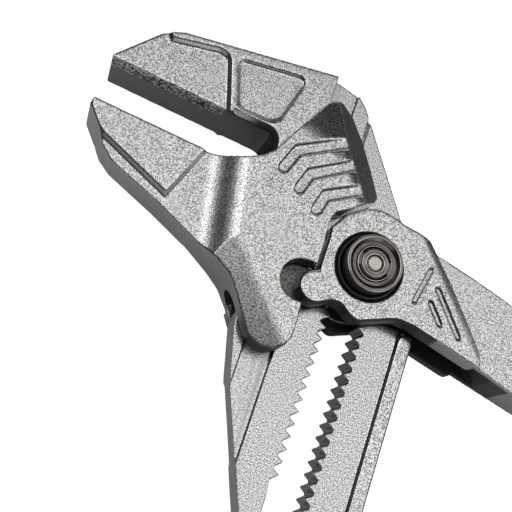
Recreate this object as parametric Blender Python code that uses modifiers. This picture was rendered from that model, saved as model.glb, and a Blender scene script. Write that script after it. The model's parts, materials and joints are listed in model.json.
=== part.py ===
"""Pliers wrench with a sliding jaw, a toothed bar and a press button, lying on its back.

Working frame while building: the pivot bolt stands on Z at X = Y = 0, the jaw slides along Y,
the fixed jaw is towards +Y and the handles towards -Y and +X. Z = 0 is the middle of the bar.
At the end the whole tool is moved so that its base centre is the origin.
"""
import bmesh
import bpy
from math import atan2, cos, pi, radians, sin, sqrt, tan
from mathutils import Matrix, Vector

MM = 0.001

# Fits (mm)
CLEAR = 0.3
RUNNING = 0.1
GRIP_FIT = 0.15
RACK_FIT = 0.25
SEAT = 0.15

# Half thickness of each zone, from the middle of the bar (mm)
BAR_HALF = 3.6
GROOVE_DEPTH = 1.0
JAW_HALF = 6.8
PANEL_DROP = 1.0
SHIELD_DROP = 0.6
CHEEK_WALL = 2.3
HANDLE_ROOT_HALF = 7.6
HANDLE_FALL_X0 = 18.0
HANDLE_FALL_X1 = 64.0
TANG_HALF = 4.7
WASHER_T = 1.2
GROOVE_HALF = BAR_HALF - GROOVE_DEPTH
RIM_HALF = JAW_HALF + PANEL_DROP
NECK_HALF = JAW_HALF - PANEL_DROP
HEAD_HALF = RIM_HALF + CLEAR + CHEEK_WALL
FORK_HALF = BAR_HALF + SEAT + WASHER_T + SEAT
BEAD_HALF = FORK_HALF - CLEAR
OUTSIDE = HEAD_HALF + 4.0

# Pivot set
BORE_R = 7.35
BUSH_WALL = 0.65
BUSH_FLOOR = 1.2
BUSH_SINK = 0.1
WASHER_R = 10.2
PRESS = 3.5
BUTTON_WALL = 0.7
BUTTON_ROOF_T = 1.8
BUTTON_RIM = 0.6
BUTTON_RINGS = 2
SKIRT_ROOM = 0.7
PIN_R = 1.75
SPRING_WIRE_R = 0.35
SPRING_ROOM = 0.65
SPRING_TURNS = 4.0
BUSH_R = BORE_R - RUNNING
CUP_R = BUSH_R - BUSH_WALL
WELL_R = CUP_R + SEAT
BUSH_END = HEAD_HALF - BUSH_SINK
BUSH_FOOT = BAR_HALF + 0.2
CUP_FLOOR = BUSH_FOOT + BUSH_FLOOR
BUTTON_R = CUP_R - CLEAR
BUTTON_TOP = HEAD_HALF + PRESS
BUTTON_ROOF = BUTTON_TOP - BUTTON_ROOF_T
BUTTON_SKIRT = CUP_FLOOR + PRESS + SKIRT_ROOM
SPRING_R = BUTTON_R - BUTTON_WALL - SPRING_ROOM - SPRING_WIRE_R

# Rack of the bar: two rows of teeth that face each other across the slot
PITCH = 2.75
RACK_PHASE = -0.55
RACK_TIP = 3.37
TOOTH_DEPTH = 1.58
RIGHT_ROOT_AT = 0.45
LEFT_ROOT_AT = 0.58
TOOTH_FLAT = 0.12
RACK_TOP_Y = 8.0
RACK_LEFT_LOW_Y = -48.0
RACK_RIGHT_LOW_Y = -59.0
SLOT_TAIL = 5.0
SLOT_PLAIN = 4.5
SHANK_GAP = 0.37
RACK_ROOT = RACK_TIP + TOOTH_DEPTH
SLOT_END_Y = RACK_RIGHT_LOW_Y - SLOT_TAIL
SHANK_R = RACK_TIP - SHANK_GAP
COLLAR_BACK = -BAR_HALF + RACK_FIT
COLLAR_FRONT = PRESS - BAR_HALF - RACK_FIT
COLLAR_HALF_Y = sqrt(WELL_R ** 2 - (RACK_ROOT - RACK_FIT) ** 2) - 0.545

# Straight features along the slide axis, set out from the washers
GROOVE_WIDTH = 6.6
BAR_LIP = 3.5
EDGE_LINE_X = -8.5
EDGE_LINE_HALF = 0.32
EDGE_LINE_DEPTH = 0.8
BEAD_WIDTH = 3.4
BEAD_EDGE = 0.6
SEAM = 0.02
BEAD_TOP_Y = -9.4
BEAD_LOW_Y = -52.0
GROOVE_X1 = -WASHER_R - 2.5
GROOVE_X0 = GROOVE_X1 - GROOVE_WIDTH
BAR_LEFT = GROOVE_X0 - BAR_LIP
BEAD_X0 = WASHER_R + 2.3
BAR_RIGHT = BEAD_X0 + BEAD_WIDTH
JAW_BACK_X = -WASHER_R - 0.8
LEVER_LEFT = JAW_BACK_X + 0.7

# Jaws
JAW_TILT = radians(-3.0)
TIP_X = -67.4
UPPER_TIP_Y = 23.6
MOUTH_GAP = 10.2
MOUTH_END_X = -28.2
THROAT_R = 3.0
THROAT_EDGE = 1.2
JAW_STROKE = 9.45
JAW_END_ROOM = 0.5
NECK_STEP = 10.4
WINDOW_RUN = 2.0
WINDOW_HALF = BAR_HALF + 0.1
CHEVRON_HALF = 1.25
CHEVRON_DEPTH = 1.0

# Lever
LEVER_SWING = radians(45.0)
NOSE_X = -9.8
NOSE_Y = -8.5
NOSE_R = 3.7
POCKET_ROOM = 0.9
POCKET_REACH = 3.5
RELIEF_DEPTH = 0.5
RIM_CHAMFER = 0.5
POCKET_R = NOSE_R + POCKET_ROOM
POCKET_X = NOSE_X - POCKET_REACH
POCKET_Y = NOSE_Y + 0.1
POCKET_FLOOR = FORK_HALF - 0.35

# Handles: the end of the fixed leg, and the straight run of the lever beyond its bend
GRIP_EDGE = 5.2
WEB_END_Y = -75.0
GRIP_TOP_Y = -90.0
LEG_END_Y = -196.0
LEVER_BEND = (96.0, -27.5)
LEVER_HEADING = radians(-31.5)
LEVER_TAIL = 89.1
LEVER_GRIP_SHORT = 4.6

# Further than the tool reaches, for blocks that cut right through it
FAR = 300.0
ROUND = 48


def clear_scene():
    for obj in list(bpy.data.objects):
        bpy.data.objects.remove(obj, do_unlink=True)
    for block in list(bpy.data.meshes):
        bpy.data.meshes.remove(block)
    for coll in list(bpy.data.collections):
        bpy.data.collections.remove(coll)


clear_scene()
PARTS = bpy.data.collections.new("pliers_wrench")
TOOLS = bpy.data.collections.new("cutters")
bpy.context.scene.collection.children.link(PARTS)
bpy.context.scene.collection.children.link(TOOLS)


# Outline helpers: every outline is a list of (x, y) in mm, or (x, y, corner radius)
def rounded(points, steps=4):
    """Corner points with a third number get an arc of that radius."""
    out = []
    count = len(points)
    for i, point in enumerate(points):
        radius = point[2] if len(point) > 2 else 0.0
        here = Vector(point[:2])
        if radius <= 0.0:
            out.append((here.x, here.y))
            continue
        before = Vector(points[i - 1][:2]) - here
        after = Vector(points[(i + 1) % count][:2]) - here
        room = 0.49 * min(before.length, after.length)
        u, v = before.normalized(), after.normalized()
        half = 0.5 * u.angle(v)
        reach = min(radius / tan(half), room)
        start, end = here + u * reach, here + v * reach
        for k in range(steps + 1):
            t = k / steps
            bend = start * (1 - t) ** 2 + here * (2 * t * (1 - t)) + end * t ** 2
            out.append((bend.x, bend.y))
    return out


def crosswise(along):
    """Unit vector square to a direction, to its left."""
    unit = along.normalized()
    return Vector((-unit.y, unit.x))


def strip(path, halves, cap=6):
    """Outline of a band along a path, with half widths, closed by round ends."""
    pts = [Vector(p) for p in path]
    left, right = [], []
    for i, p in enumerate(pts):
        a = pts[max(i - 1, 0)]
        b = pts[min(i + 1, len(pts) - 1)]
        side = crosswise(b - a)
        if 0 < i < len(pts) - 1:
            side = side / max(0.5, side.dot(crosswise(p - a)))
        left.append(p + side * halves[i])
        right.append(p - side * halves[i])

    def end(centre, begin, turn_to):
        start = atan2(begin.y - centre.y, begin.x - centre.x)
        r = (begin - centre).length
        turns = [start + turn_to * k / cap for k in range(1, cap)]
        return [centre + Vector((cos(turn), sin(turn))) * r for turn in turns]
    outline = left + end(pts[-1], left[-1], -pi) + right[::-1] + end(pts[0], right[0], -pi)
    return [(p.x, p.y) for p in outline]


def lifted(points, rise):
    """Outline moved along Y; corner radii stay."""
    return [(p[0], p[1] + rise) + tuple(p[2:]) for p in points]


def to_mesh(curve_obj):
    """Turns a curve into a plain closed mesh object."""
    bpy.context.view_layer.update()
    deps = bpy.context.evaluated_depsgraph_get()
    mesh = bpy.data.meshes.new_from_object(curve_obj.evaluated_get(deps))
    mesh.transform(curve_obj.matrix_world)
    obj = bpy.data.objects.new(curve_obj.name + "_m", mesh)
    TOOLS.objects.link(obj)
    old = curve_obj.data
    bpy.data.objects.remove(curve_obj, do_unlink=True)
    bpy.data.curves.remove(old)
    return outward(weld(obj))


def outward(obj):
    """Turns every face so that it points out of the solid, and joins the triangles of flat faces."""
    shell = bmesh.new()
    shell.from_mesh(obj.data)
    bmesh.ops.recalc_face_normals(shell, faces=shell.faces)
    bmesh.ops.dissolve_limit(shell, angle_limit=radians(0.05), verts=shell.verts, edges=shell.edges)
    shell.to_mesh(obj.data)
    shell.free()
    return obj


def weld(obj, dist=0.00001):
    mod = obj.modifiers.new("weld", 'WELD')
    mod.merge_threshold = dist
    return settle(obj)


def settle(obj):
    """Applies the modifiers of an object by taking its evaluated mesh."""
    bpy.context.view_layer.update()
    deps = bpy.context.evaluated_depsgraph_get()
    mesh = bpy.data.meshes.new_from_object(obj.evaluated_get(deps))
    obj.modifiers.clear()
    old = obj.data
    obj.data = mesh
    bpy.data.meshes.remove(old)
    return obj


def prism(name, outline, z0, z1, edge=0.0, edge_steps=0, holes=(), grow=False):
    """Flat outline drawn out from z0 to z1 (mm). edge rounds or chamfers both rims; with grow
    the outline is that of the end faces and the middle stands out by the edge."""
    curve = bpy.data.curves.new(name, 'CURVE')
    curve.dimensions = '2D'
    curve.fill_mode = 'BOTH'
    for loop in (outline,) + tuple(holes):
        spline = curve.splines.new('POLY')
        spline.points.add(len(loop) - 1)
        for point, (x, y) in zip(spline.points, loop):
            point.co = (x * MM, y * MM, 0.0, 1.0)
        spline.use_cyclic_u = True
    curve.extrude = (0.5 * abs(z1 - z0) - edge) * MM
    if edge > 0.0:
        curve.bevel_depth = edge * MM
        curve.bevel_resolution = edge_steps
        curve.offset = 0.0 if grow else -edge * MM
    obj = bpy.data.objects.new(name, curve)
    obj.location = (0.0, 0.0, 0.5 * (z0 + z1) * MM)
    TOOLS.objects.link(obj)
    return to_mesh(obj)


def profile_block(name, outline, length, heading, place):
    """An outline in (across, height) drawn out along a level heading."""
    obj = prism(name, outline, -0.5 * length, 0.5 * length)
    stand = Matrix.Rotation(radians(90.0), 4, 'X')
    turn = Matrix.Rotation(heading, 4, 'Z')
    shift = Matrix.Translation(Vector((place[0] * MM, place[1] * MM, 0.0)))
    obj.data.transform(shift @ turn @ stand)
    return obj


def circle(radius, x=0.0, y=0.0, steps=ROUND):
    turns = [2 * pi * k / steps for k in range(steps)]
    return [(x + radius * cos(turn), y + radius * sin(turn)) for turn in turns]


def rect(x0, y0, x1, y1):
    return [(x0, y0), (x1, y0), (x1, y1), (x0, y1)]


def boolean(obj, other, operation):
    mod = obj.modifiers.new("bool", 'BOOLEAN')
    mod.operation = operation
    mod.solver = 'EXACT'
    mod.object = other
    settle(obj)
    bpy.data.objects.remove(other, do_unlink=True)
    return obj


def cut(obj, *others):
    for other in others:
        boolean(obj, other, 'DIFFERENCE')
    return obj


def join(obj, *others):
    for other in others:
        boolean(obj, other, 'UNION')
    return obj


def keep(obj, other):
    return boolean(obj, other, 'INTERSECT')


def turned(name, profile, steps=ROUND):
    """Profile of (radius, height) in mm spun about Z; it runs down the outer side."""
    mesh = bpy.data.meshes.new(name)
    closed = profile[0][0] > 0.0
    verts = [(r * MM, 0.0, z * MM) for r, z in profile]
    edges = [(i, i + 1) for i in range(len(verts) - 1)]
    if closed:
        edges.append((len(verts) - 1, 0))
    mesh.from_pydata(verts, edges, [])
    obj = bpy.data.objects.new(name, mesh)
    TOOLS.objects.link(obj)
    mod = obj.modifiers.new("screw", 'SCREW')
    mod.steps = steps
    mod.render_steps = steps
    mod.use_merge_vertices = True
    mod.merge_threshold = 0.00001
    return outward(settle(obj))


def both_faces(name, outline, depth_from, edge=0.0):
    """A pair of cutters that sink an outline into the front and the back face."""
    front = prism(name + "_f", outline, depth_from, OUTSIDE, edge, 0, grow=True)
    back = prism(name + "_b", outline, -OUTSIDE, -depth_from, edge, 0, grow=True)
    return front, back


# Jaw faces
def upper_face_y(x):
    return UPPER_TIP_Y + tan(JAW_TILT) * (x - TIP_X)


def lower_face_y(x):
    return upper_face_y(x) - MOUTH_GAP


# Rack outline, shared by the slot and by the bolt that meshes with it
def tooth_at(y):
    """Number of the last tooth that still fits before a height, counted from the pivot."""
    return int((y - RACK_PHASE) / PITCH)


def rack_side(sign, first, last, root_at, inset=0.0):
    """Zigzag of one side of the slot from the top tooth to the last one."""
    pts = []
    for n in range(first, last - 1, -1):
        tip_y = RACK_PHASE + PITCH * n
        root_y = tip_y - PITCH * root_at
        tip_x = sign * (RACK_TIP - inset)
        root_x = sign * (RACK_ROOT - inset)
        pts.append((tip_x, tip_y + TOOTH_FLAT))
        pts.append((tip_x, tip_y - TOOTH_FLAT))
        pts.append((root_x, root_y + TOOTH_FLAT))
        pts.append((root_x, root_y - TOOTH_FLAT))
    return pts


def slot_outline():
    right = rack_side(1, tooth_at(RACK_TOP_Y), tooth_at(RACK_RIGHT_LOW_Y), RIGHT_ROOT_AT)
    left = rack_side(-1, tooth_at(RACK_TOP_Y), tooth_at(RACK_LEFT_LOW_Y), LEFT_ROOT_AT)
    top_y = right[0][1] + 2.2
    low_y = left[-1][1] - 0.6
    end = [(RACK_TIP, SLOT_END_Y + 3.0), (2.2, SLOT_END_Y + 0.8), (0.0, SLOT_END_Y),
           (-2.4, SLOT_END_Y + 0.8), (-SLOT_PLAIN, SLOT_END_Y + 3.4), (-SLOT_PLAIN, low_y - 2.5)]
    return [(-2.2, top_y), (2.2, top_y)] + right + end + left[::-1]


def collar_outline():
    """Toothed collar of the bolt: the rack's own outline, set in by the fit."""
    def limited(points):
        return [p for p in points if abs(p[1]) <= COLLAR_HALF_Y]
    first = tooth_at(COLLAR_HALF_Y) + 1
    last = tooth_at(-COLLAR_HALF_Y) - 1
    right = limited(rack_side(1, first, last, RIGHT_ROOT_AT, RACK_FIT))
    left = limited(rack_side(-1, first, last, LEFT_ROOT_AT, RACK_FIT))
    corner_x = RACK_TIP - RACK_FIT - 0.52
    corner_y = COLLAR_HALF_Y + 0.5
    head = [(-corner_x, corner_y), (corner_x, corner_y)]
    foot = [(corner_x, -corner_y), (-corner_x, -corner_y)]
    return head + right + foot + left[::-1]


# Fixed jaw with bar and tang
INSIDE = 1.2
HAIR = 0.05
THROAT_CORNER = (MOUTH_END_X, upper_face_y(MOUTH_END_X), THROAT_R)
JAW_FOOT_Y = 8.0

WEB = rounded([
    (TIP_X + 0.6, UPPER_TIP_Y + 1.0), (TIP_X + 7.8, UPPER_TIP_Y + 10.9, 2.0),
    (TIP_X + 12.4, UPPER_TIP_Y + 13.2, 3.0), (-20.4, UPPER_TIP_Y + 18.7, 3.0),
    (-12.9, UPPER_TIP_Y + 16.9, 0.8), (-10.4, UPPER_TIP_Y + 14.7, 2.0), (-8.6, UPPER_TIP_Y + 12.2, 2.0),
    (4.9, 16.7),
    (BAR_RIGHT - 3.1, 4.5, 6.0), (BAR_RIGHT, -4.0, 6.0), (BAR_RIGHT, BEAD_LOW_Y, 10.0),
    (BAR_RIGHT - 2.7, BEAD_LOW_Y - 12.0, 8.0), (11.6, WEB_END_Y), (-2.8, WEB_END_Y),
    (BAR_LEFT + 18.0, -67.0, 8.0), (BAR_LEFT + 12.7, -54.9, 8.0), (BAR_LEFT + 7.05, -41.4),
    (BAR_LEFT + 3.0, -31.9, 10.0), (BAR_LEFT, -20.6, 8.0), (BAR_LEFT, JAW_FOOT_Y + 3.0),
    (MOUTH_END_X + INSIDE, JAW_FOOT_Y + 6.0), (MOUTH_END_X + INSIDE, upper_face_y(MOUTH_END_X) + INSIDE)])

THICK = rounded([
    (TIP_X, UPPER_TIP_Y), (TIP_X - 0.2, UPPER_TIP_Y + 0.5), (TIP_X + 8.0, UPPER_TIP_Y + 10.0, 2.0),
    (TIP_X + 12.5, UPPER_TIP_Y + 11.8, 3.0), (GROOVE_X0 + INSIDE, UPPER_TIP_Y + 17.2),
    (GROOVE_X0 + INSIDE, JAW_FOOT_Y),
    (BAR_LEFT - 0.2, JAW_FOOT_Y), (MOUTH_END_X, JAW_FOOT_Y + 4.0, 1.0), THROAT_CORNER])

# Mouth beside the throat, a hair clear of its walls, from which the rims get their chamfer
THROAT_X = MOUTH_END_X - 10.0
THROAT_RIM = rounded([
    (THROAT_X, -40.0), (THROAT_X, upper_face_y(THROAT_X) - HAIR),
    (MOUTH_END_X - HAIR, upper_face_y(MOUTH_END_X) - HAIR, THROAT_R), (MOUTH_END_X - HAIR, -40.0)])

TIP_PANEL = rounded(lifted([
    (TIP_X - 22.6, -33.2), (-39.8, -33.2), (-40.2, -2.4), (-44.3, 10.4, 1.5), (-46.5, 10.8),
    (TIP_X + 10.0, 8.6), (TIP_X + 5.4, 16.4), (TIP_X - 22.6, 16.4)], UPPER_TIP_Y))

SHIELD = rounded(lifted([
    (-41.5, 10.8, 1.0), (-26.0, 13.0, 1.5), (-28.9, 1.6, 1.5), (-30.6, 0.2, 1.5), (-36.9, 0.1, 1.2),
    (-38.2, 0.8, 1.2)], UPPER_TIP_Y))

BEAD = rounded([
    (BEAD_X0, BEAD_TOP_Y, 1.5), (BAR_RIGHT - SEAM, BEAD_TOP_Y, 1.5), (BAR_RIGHT - SEAM, BEAD_LOW_Y, 10.0),
    (BAR_RIGHT - 1.6, BEAD_LOW_Y - 12.3, 1.5), (BAR_RIGHT - 4.3, BEAD_LOW_Y - 11.0, 1.5),
    (BEAD_X0, BEAD_LOW_Y + 2.0, 10.0)])

TANG_PATH = [(4.2, -66.0), (5.2, GRIP_TOP_Y), (5.4, GRIP_TOP_Y - 50.0), (3.0, LEG_END_Y)]
TANG_HALVES = [7.4, 6.9, 6.6, 5.4]


def build_fixed_jaw_leg():
    body = prism("fixed_jaw_leg", WEB, -BAR_HALF, BAR_HALF)
    thick = prism("thick", THICK, -RIM_HALF, RIM_HALF)
    cut(thick, *both_faces("throat", THROAT_RIM, RIM_HALF - THROAT_EDGE, THROAT_EDGE + HAIR))
    cut(thick, *both_faces("panel", TIP_PANEL, RIM_HALF - PANEL_DROP, 1.6))
    cut(thick, *both_faces("shield", SHIELD, RIM_HALF - SHIELD_DROP, 0.8))
    tang = prism("tang", strip(TANG_PATH, TANG_HALVES), -TANG_HALF, TANG_HALF)
    bead = prism("bead", BEAD, -BEAD_HALF, BEAD_HALF, BEAD_EDGE, 2)
    join(body, thick, tang, bead)
    groove = rect(GROOVE_X0, WEB_END_Y - 5.0, GROOVE_X1, FAR)
    cut(body, *both_faces("groove", groove, GROOVE_HALF))
    line = rect(EDGE_LINE_X - EDGE_LINE_HALF, 19.0, EDGE_LINE_X + EDGE_LINE_HALF, FAR)
    cut(body, *both_faces("line", line, BAR_HALF - EDGE_LINE_DEPTH))
    cut(body, prism("slot", slot_outline(), -OUTSIDE, OUTSIDE))
    return body


# Moving jaw
def jaw_outline():
    tip_y = lower_face_y(TIP_X)
    floor_x = MOUTH_END_X - 13.3
    valley_x = MOUTH_END_X - 9.5
    return rounded([
        (TIP_X - 0.3, lower_face_y(TIP_X - 0.3)), (floor_x, lower_face_y(floor_x), 3.0),
        (valley_x, lower_face_y(valley_x) + 0.25, 3.0), (MOUTH_END_X - 4.8, UPPER_TIP_Y - 10.65),
        (MOUTH_END_X - 1.9, UPPER_TIP_Y - 9.35, 2.0), (MOUTH_END_X + 0.3, UPPER_TIP_Y - 7.2, 0.8),
        (-19.6, 33.5, 1.0), (-16.5, 35.2, 1.5), (-12.9, 33.6, 2.0), (-8.65, 29.1, 3.0), (-5.0, 23.5, 3.0),
        (-1.6, 17.7, 1.0), (-2.2, 15.6, 1.0), (-8.4, 10.3, 1.5), (JAW_BACK_X + 0.1, 8.6, 1.2),
        (JAW_BACK_X - 0.5, 6.0, 1.5), (JAW_BACK_X - 0.1, 0.7), (JAW_BACK_X, -3.2),
        (JAW_BACK_X - 0.6, -13.8, 0.6), (JAW_BACK_X - 0.3, -17.0), (JAW_BACK_X - 0.3, -20.3, 2.0),
        (JAW_BACK_X - 1.2, -22.9, 2.0), (JAW_BACK_X - 3.4, -24.5, 2.0), (JAW_BACK_X - 6.3, -24.5, 2.0),
        (JAW_BACK_X - 8.9, -23.2, 2.0), (JAW_BACK_X - 11.0, -20.3, 3.0), (JAW_BACK_X - 13.8, -16.3, 3.0),
        (-27.5, -12.8, 3.0), (-31.2, -10.4, 3.0), (-36.6, -7.8, 3.0), (-46.9, -3.1),
        (TIP_X + 11.9, tip_y - 13.2, 3.0), (TIP_X + 8.3, tip_y - 11.8, 2.0), (TIP_X + 5.2, tip_y - 9.2, 2.0),
        (TIP_X + 3.2, tip_y - 6.0, 2.0), (TIP_X - 0.6, tip_y - 1.6)], 3)


LOWER_PANEL = lifted([
    (TIP_X - 1.0, 3.0), (TIP_X + 0.2, -2.0), (TIP_X + 3.0, -5.2), (TIP_X + 4.5, -6.5), (TIP_X + 11.4, -9.5),
    (-46.4, -13.6), (-42.0, -1.4), (-41.0, 2.0)], lower_face_y(TIP_X))

# Slopes of the cheek: where each leaves the level, its heading, length and reach, the half width of its
# round shoulder, and its fall at the front and at the back
CHEEK_SLOPES = [
    ("crown", (-21.0, 23.6), radians(70.0), 40.0, 14.0, 2.5, (0.2, 0.2)),
    ("brow", (-10.1, 19.3), radians(35.0), 60.0, 9.0, 2.2, (0.85, 0.85)),
    ("heel", (-21.5, -11.75), radians(-138.2), 36.0, 9.0, 1.5, (0.4, 0.55))]

# Bevels along the back rim: a place on the rim, the heading out of it, the length, and the half
# thickness that is left at the rim
JAW_BEVELS = [
    ("neck_bevel", (-51.8, -1.4), radians(-113.2), 30.0, 3.5),
    ("bend_bevel", (-31.57, -12.77), radians(-130.9), 17.4, 3.3)]

CHEVRONS = [[(-24.8, 13.5), (-23.0, 18.7), (-13.9, 24.4), (-7.0, 28.7)],
            [(-20.0, 10.5), (-18.7, 14.7), (-10.9, 20.0), (-4.0, 24.7)],
            [(-15.0, 7.4), (-14.0, 11.4), (-7.7, 15.3), (-1.0, 19.4)]]


def neck_profile():
    """Height of the jaw across its neck: thin towards the tip, an S up to the thick cheek."""
    rise = HEAD_HALF - NECK_HALF
    bend = []
    for k in range(13):
        t = k / 12.0
        bend.append((NECK_STEP * (t - 0.5), NECK_HALF + rise * (3 * t ** 2 - 2 * t ** 3)))
    top = [(-FAR, NECK_HALF)] + bend + [(FAR, HEAD_HALF)]
    return top + [(x, -z) for x, z in top[::-1]]


def slope_cutters(name, place, heading, length, reach, shoulder, falls):
    """Pair of cutters that leave a slope on each face: a round shoulder on a line through a place, then
    a steady fall towards a heading."""
    pair = []
    for face, fall in zip((1, -1), falls):
        crest = HEAD_HALF + HAIR
        under = []
        for k in range(7):
            t = k / 6.0
            under.append((shoulder * (2.0 * t - 1.0), crest - fall * shoulder * t ** 2))
        under += [(reach, crest - fall * reach), (reach, OUTSIDE), (-shoulder, OUTSIDE)]
        pair.append(profile_block(name, [(x, face * z) for x, z in under], length, heading, place))
    return pair


def back_bevel(name, place, heading, length, half):
    """Cutter that takes a slope of 45 degrees off the back rim."""
    section = [(half - OUTSIDE, -OUTSIDE), (half, 0.0), (half, -OUTSIDE)]
    return profile_block(name, section, length, heading, place)


def slide_way():
    """Section of the way through the fork: the bar, with a rib for each guide groove."""
    way = BAR_HALF + CLEAR
    rib = GROOVE_HALF + CLEAR
    x_in = BAR_LEFT - CLEAR
    upper = [(x_in, way), (GROOVE_X0 + CLEAR, way), (GROOVE_X0 + CLEAR, rib), (GROOVE_X1 - CLEAR, rib),
             (GROOVE_X1 - CLEAR, way), (FAR, way)]
    return upper + [(x, -z) for x, z in upper[::-1]]


def tongue_way():
    """Room in the fork for the thick foot of the fixed jaw, over the whole stroke."""
    left_x = MOUTH_END_X - 0.5
    right_x = GROOVE_X0 + CLEAR + 0.1
    low_y = JAW_FOOT_Y - JAW_STROKE - JAW_END_ROOM
    return [(left_x, low_y + 4.0), (BAR_LEFT - 0.4, low_y), (right_x, low_y), (right_x, FAR), (left_x, FAR)]


def throat_way():
    """Room between the cheeks for the throat of the fixed jaw when the mouth is shut."""
    drop = JAW_STROKE + JAW_END_ROOM
    left_x = MOUTH_END_X - 13.8
    corner_x = MOUTH_END_X - 0.7
    right_x = MOUTH_END_X + 8.0
    low_y = JAW_FOOT_Y + 4.3 - drop
    return rounded([
        (left_x, upper_face_y(left_x) - drop), (corner_x, upper_face_y(corner_x) - drop, THROAT_R),
        (corner_x, low_y), (right_x, low_y), (right_x, FAR), (left_x, FAR)])


def build_moving_jaw():
    outline = jaw_outline()
    body = profile_block("moving_jaw", neck_profile(), 2 * FAR, atan2(20.1, -4.0) - 0.5 * pi, (-34.2, 2.7))
    join(body, prism("tip", LOWER_PANEL, -JAW_HALF, JAW_HALF, PANEL_DROP + SEAT, 0, grow=True))
    keep(body, prism("trim", outline, -OUTSIDE, OUTSIDE))
    for slope in CHEEK_SLOPES:
        cut(body, *slope_cutters(*slope))
    for bevel in JAW_BEVELS:
        cut(body, back_bevel(*bevel))
    way = RIM_HALF + CLEAR
    cut(body, prism("tongue_way", tongue_way(), -way, way))
    way -= 0.1
    cut(body, prism("throat_way", throat_way(), -way, way, THROAT_EDGE))
    cut(body, profile_block("slide_way", slide_way(), 2 * FAR, 0.0, (0.0, 0.0)))
    pocket = strip([(POCKET_X, POCKET_Y), (6.0, POCKET_Y)], [POCKET_R, POCKET_R], 12)
    cut(body, *both_faces("pocket", pocket, POCKET_FLOOR))
    for k, path in enumerate(CHEVRONS):
        outline = strip(path, [CHEVRON_HALF] * len(path), 3)
        cut(body, *both_faces("chevron%d" % k, outline, HEAD_HALF - CHEVRON_DEPTH))
    window = strip([(0.0, 0.0), (WINDOW_RUN, 0.0)], [WINDOW_HALF, WINDOW_HALF], 10)
    return cut(body, profile_block("window", window, 8.0, radians(-54.0), (-24.5, -17.1)))


# Lever
HEAD_PLAN = rounded([
    (LEVER_LEFT, -4.0), (LEVER_LEFT, 3.0, 2.0), (LEVER_LEFT - 0.3, 5.4, 1.5), (-8.4, 9.3, 3.0),
    (-4.9, 12.2, 3.0), (-1.5, 13.4, 4.0), (3.0, 12.9, 3.0), (4.7, 12.3), (8.5, 11.9), (11.8, 11.1, 1.2),
    (19.5, 3.2), (29.2, -8.3, 2.0), (30.0, -10.5, 1.0), (29.9, -11.9, 0.6), (28.8, -12.1), (19.8, -10.25),
    (12.7, -8.85, 3.0), (9.35, -8.8, 2.0), (7.7, -9.4, 1.0), (0.7, -12.6, 2.0), (-1.6, -11.5, 1.5),
    (-3.6, -10.1, 2.0), (-5.6, -10.3, 1.0), (NOSE_X + 0.7, NOSE_Y - 3.6)])


def beyond_bend(run):
    """Point of the lever's axis at a distance beyond its bend."""
    return (LEVER_BEND[0] + run * cos(LEVER_HEADING), LEVER_BEND[1] + run * sin(LEVER_HEADING))


LEVER_AXIS = [(8.0, 1.4), (20.0, -0.6), (32.0, -2.6), (52.0, -8.0), (72.0, -15.6), LEVER_BEND,
              beyond_bend(LEVER_TAIL)]
LEVER_HALVES = [9.3, 9.1, 8.7, 7.9, 7.3, 6.9, 5.4]
LEVER_BROW = ("lever_brow", (19.6, 0.55), radians(41.9), 60.0, 4.0, 1.4, (0.6, 0.6))
LEVER_BEVEL = ("lever_bevel", (22.2, -10.72), radians(-101.1), 17.9, 7.8)

RELIEF = [[(13.4, 4.7), (11.7, -3.5)], [(15.3, -2.4), (18.7, -6.3)], [(16.0, 1.2), (23.5, -7.5)]]
RELIEF_HALF = 0.6


def handle_profile():
    """Height of the lever's handle along its length, falling from the head to the tang."""
    fall = HANDLE_ROOT_HALF - TANG_HALF
    run = HANDLE_FALL_X1 - HANDLE_FALL_X0
    bend = []
    for k in range(13):
        t = k / 12.0
        bend.append((HANDLE_FALL_X0 + run * t, HANDLE_ROOT_HALF - fall * (3 * t ** 2 - 2 * t ** 3)))
    top = [(-FAR, HANDLE_ROOT_HALF)] + bend + [(FAR, TANG_HALF)]
    return top + [(x, -z) for x, z in top[::-1]]


def build_lever_leg():
    body = prism("lever_leg", HEAD_PLAN, -HEAD_HALF, HEAD_HALF, 0.5, 1)
    join(body, prism("nose", circle(NOSE_R, NOSE_X, NOSE_Y, 32), -HEAD_HALF, HEAD_HALF, 0.5, 1))
    handle = prism("handle", strip(LEVER_AXIS, LEVER_HALVES), -OUTSIDE, OUTSIDE)
    keep(handle, profile_block("taper", handle_profile(), 2 * FAR, 0.0, (0.0, 0.0)))
    cut(body, *slope_cutters(*LEVER_BROW))
    cut(body, back_bevel(*LEVER_BEVEL))
    join(body, handle)
    edge = BAR_RIGHT + 0.7
    reach = edge / cos(LEVER_SWING)
    gap = [(-FAR, -FAR), (reach + FAR, -FAR), (edge, reach - edge), (edge, FAR), (-FAR, FAR)]
    cut(body, prism("gap", gap, -FORK_HALF, FORK_HALF))
    rim = HEAD_HALF - RIM_CHAMFER
    mouth_r = BORE_R + OUTSIDE - rim
    cut(body, turned("bore", [
        (0.0, OUTSIDE), (mouth_r, OUTSIDE), (BORE_R, rim), (BORE_R, -rim), (mouth_r, -OUTSIDE), (0.0, -OUTSIDE)]))
    for k, path in enumerate(RELIEF):
        outline = strip(path, [RELIEF_HALF] * len(path), 4)
        cut(body, *both_faces("relief%d" % k, outline, HEAD_HALF - RELIEF_DEPTH))
    return body


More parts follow.
